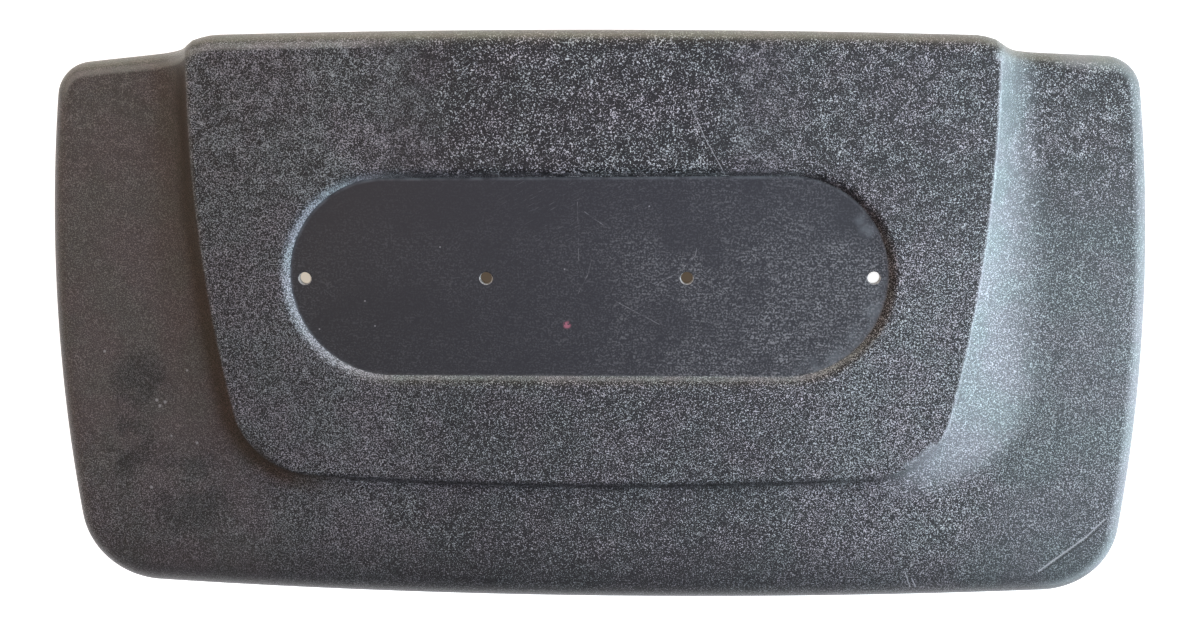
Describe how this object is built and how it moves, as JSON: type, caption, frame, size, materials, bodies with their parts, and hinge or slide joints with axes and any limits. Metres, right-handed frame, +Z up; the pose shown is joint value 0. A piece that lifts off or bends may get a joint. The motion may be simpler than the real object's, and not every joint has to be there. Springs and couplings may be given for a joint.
{
  "type": "engine cover",
  "caption": "Hollow moulded engine bay cover with a raised centre panel, hollowed flanks, side wings, a front apron and a sunk seat for a pinned trim plate.",
  "frame": {"origin": "middle of the cover's box on the plane of its rim", "axes": "+X across the car to the right of the picture, +Y to the rear of the cover at the top of the picture, +Z up"},
  "size_m": [0.504, 0.264, 0.0603],
  "materials": {
    "grained_plastic": "moulded pebble grain, dark charcoal, satin, with a smooth scuffed seat"
  },
  "bodies": {
    "root": {"cover": "grained_plastic"}
  },
  "joints": []
}
